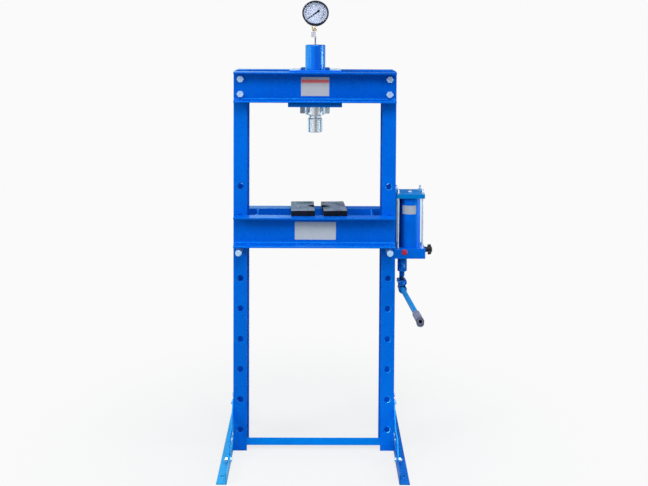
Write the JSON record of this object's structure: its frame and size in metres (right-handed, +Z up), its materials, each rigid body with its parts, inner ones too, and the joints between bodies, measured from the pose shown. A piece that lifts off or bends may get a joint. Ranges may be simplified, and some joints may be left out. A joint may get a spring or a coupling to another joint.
{
  "type": "hydraulic press",
  "caption": "Floor-standing H-frame workshop press: hydraulic ram and gauge in a channel beam, pinned adjustable bed with V-blocks, hand pump on the right post.",
  "frame": {"origin": "on the floor, midway between the four anchor holes of the feet, on the ram's axis", "axes": "+X to the right towards the pump, +Y to the back, +Z up along the ram's axis"},
  "size_m": [0.8453, 0.8582, 1.8247],
  "materials": {
    "blue_paint": "gloss enamel over rolled and cast steel",
    "zinc_plate": "bright zinc plate",
    "turned_steel": "turned bright steel",
    "hard_chrome": "ground and hard-chromed",
    "dark_steel": "phosphated steel, rubbed on top",
    "black_oxide": "black oxide",
    "spring_steel": "oiled spring wire",
    "bronze": "turned bronze",
    "brass_fitting": "machined brass",
    "nickel_coupler": "dull nickel plate",
    "black_case": "black enamel",
    "dial_white": "white enamel",
    "black_pointer": "matt black",
    "clear_glass": "clear flat glass",
    "black_plastic": "moulded black plastic",
    "red_plastic": "moulded red plastic",
    "seal_rubber": "oil-resistant rubber",
    "grip_rubber": "ribbed grey rubber"
  },
  "bodies": {
    "frame": {"post_left": "blue_paint", "post_right": "blue_paint", "foot_left": "blue_paint", "foot_right": "blue_paint", "brace_front_left": "blue_paint", "brace_front_right": "blue_paint", "brace_rear_left": "blue_paint", "brace_rear_right": "blue_paint", "lower_crossbar": "blue_paint", "top_channel_front": "blue_paint", "top_channel_rear": "blue_paint", "head_plate": "blue_paint", "upper_plate": "blue_paint", "beam_bolts": "zinc_plate", "frame_bolts": "zinc_plate", "frame_nuts": "zinc_plate", "tie_bolts": "zinc_plate", "tie_nuts": "zinc_plate", "cylinder_body": "blue_paint", "gland_bush": "bronze", "lock_collar": "turned_steel", "collar_set_screw": "black_oxide", "rod_wiper": "seal_rubber", "return_spring": "spring_steel", "hose_adapters": "zinc_plate", "gauge_stem": "zinc_plate", "gauge_coupler": "nickel_coupler", "gauge_elbow": "brass_fitting", "gauge_movement": "brass_fitting", "gauge_case": "black_case", "gauge_plug": "seal_rubber", "gauge_bezel": "black_case", "gauge_dial": "dial_white", "gauge_glass": "clear_glass", "pump_block": "blue_paint", "pump_tank": "blue_paint", "pump_top_plate": "blue_paint", "pump_tie_rods": "zinc_plate", "pump_tie_nuts": "zinc_plate", "filler_plug": "zinc_plate", "port_cap": "red_plastic", "pump_barrel": "blue_paint"},
    "ram": {"ram": "hard_chrome", "piston_seal": "seal_rubber", "ram_head": "hard_chrome"},
    "bed": {"bed_channel_front": "blue_paint", "bed_channel_rear": "blue_paint", "bed_spacer_left": "blue_paint", "bed_spacer_right": "blue_paint", "v_block_left": "dark_steel", "v_block_right": "dark_steel"},
    "pin_left": {"bed_pin_left": "zinc_plate"},
    "pin_right": {"bed_pin_right": "zinc_plate"},
    "lever": {"lever_socket": "blue_paint", "handle_tube": "blue_paint", "handle_grip": "grip_rubber", "lever_pins": "zinc_plate"},
    "plunger": {"pump_plunger": "turned_steel"},
    "release_knob": {"release_knob": "black_plastic"},
    "pointer": {"gauge_pointer": "black_pointer"}
  },
  "joints": [
    {"name": "ram_slide", "type": "slide", "parent": "frame", "child": "ram", "axis": [0, 0, -1], "range_m": [0, 0.175], "stiffness_N_per_m": 400, "springref_m": -0.3, "deforming": ["return_spring"]},
    {"name": "bed_lift", "type": "slide", "parent": "frame", "child": "bed", "axis": [0, 0, 1], "range_m": [0, 0.124]},
    {"name": "pin_left_slide", "type": "slide", "parent": "frame", "child": "pin_left", "axis": [0, -1, 0], "range_m": [0, 0.2]},
    {"name": "pin_right_slide", "type": "slide", "parent": "frame", "child": "pin_right", "axis": [0, -1, 0], "range_m": [0, 0.2]},
    {"name": "lever_pivot", "type": "hinge", "parent": "frame", "child": "lever", "pos_m": [0.35595, 0.00798, 0.682], "axis": [-0.9994, -0.0349, 0], "range_deg": [-31, 15]},
    {"name": "plunger_slide", "type": "slide", "parent": "frame", "child": "plunger", "axis": [0, 0, 1], "range_m": [-0.0165, 0.0085]},
    {"name": "knob_turn", "type": "hinge", "parent": "frame", "child": "release_knob", "pos_m": [0.447, 0, 0.811], "axis": [1, 0, 0], "range_deg": [0, 270]},
    {"name": "pointer_turn", "type": "hinge", "parent": "frame", "child": "pointer", "pos_m": [0, 0.015, 1.773], "axis": [0, 0.9205, -0.3907], "range_deg": [0, 270], "stiffness_Nm_per_rad": 0.002}
  ],
  "couplings": [
    {"joint": "plunger_slide", "follows": "lever_pivot", "m_per_rad": 0.0291}
  ]
}
